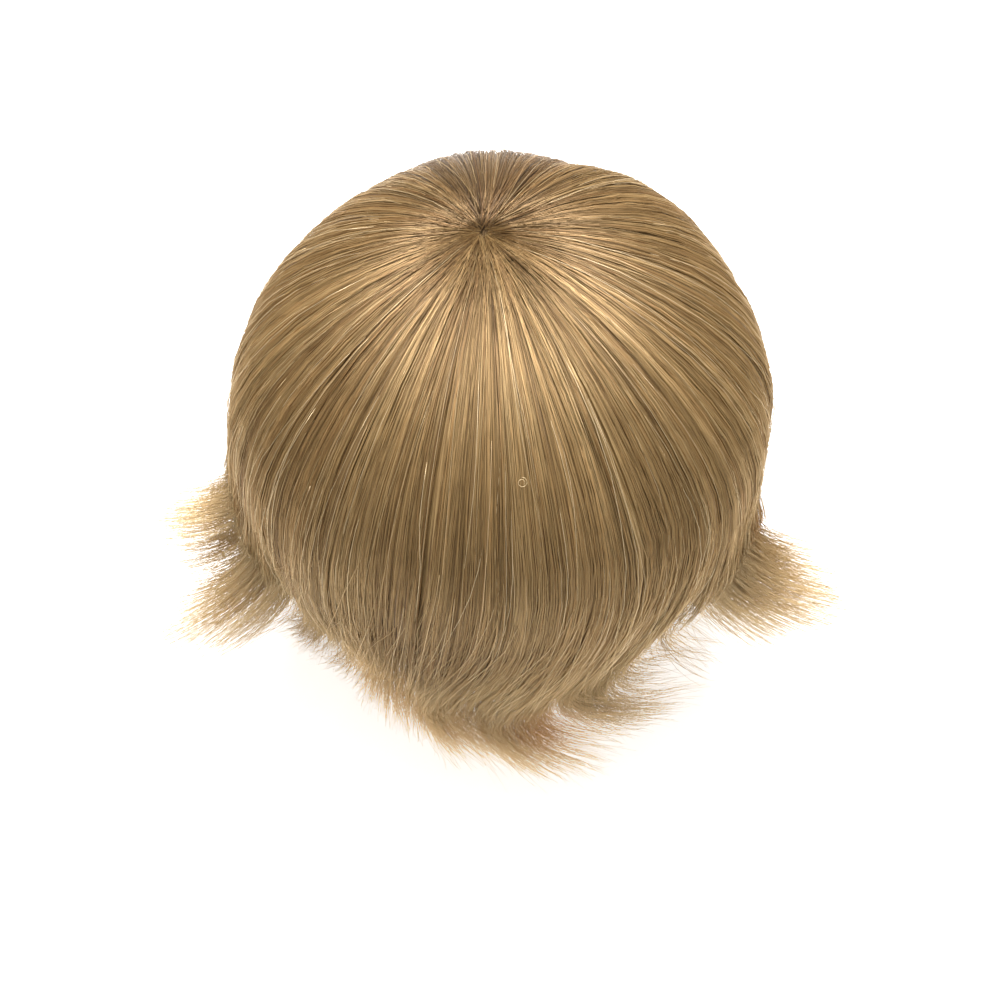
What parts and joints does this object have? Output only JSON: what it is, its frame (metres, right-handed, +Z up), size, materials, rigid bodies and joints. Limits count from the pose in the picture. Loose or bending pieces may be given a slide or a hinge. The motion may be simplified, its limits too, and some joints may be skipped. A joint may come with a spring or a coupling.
{
  "type": "toupee hairpiece",
  "caption": "Short straight blonde toupee: overlapping locks of hair spread from a whorl over a thin crown cap, with a swept fringe and flicked-out side tufts.",
  "frame": {"origin": "highest inner point of the crown cap, where it sits on the crown of a head", "axes": "+Z up out of the crown, -Y towards the wearer's front and the fringe, +X towards the wearer's left"},
  "size_m": [0.2381, 0.2287, 0.1336],
  "materials": {
    "cap": "thin pale base mesh, matt",
    "hair": "straight ash-blonde strands, soft sheen along the strand"
  },
  "bodies": {
    "root": {"base_cap": "cap", "fringe_centre": "hair", "fringe_left": "hair", "temple_left": "hair", "tuft_left": "hair", "side_left": "hair", "back_side_left": "hair", "back_left": "hair", "back_centre": "hair", "back_right": "hair", "back_side_right": "hair", "side_right": "hair", "wing_right": "hair", "tuft_right": "hair", "temple_right": "hair", "fringe_right": "hair"}
  },
  "joints": []
}
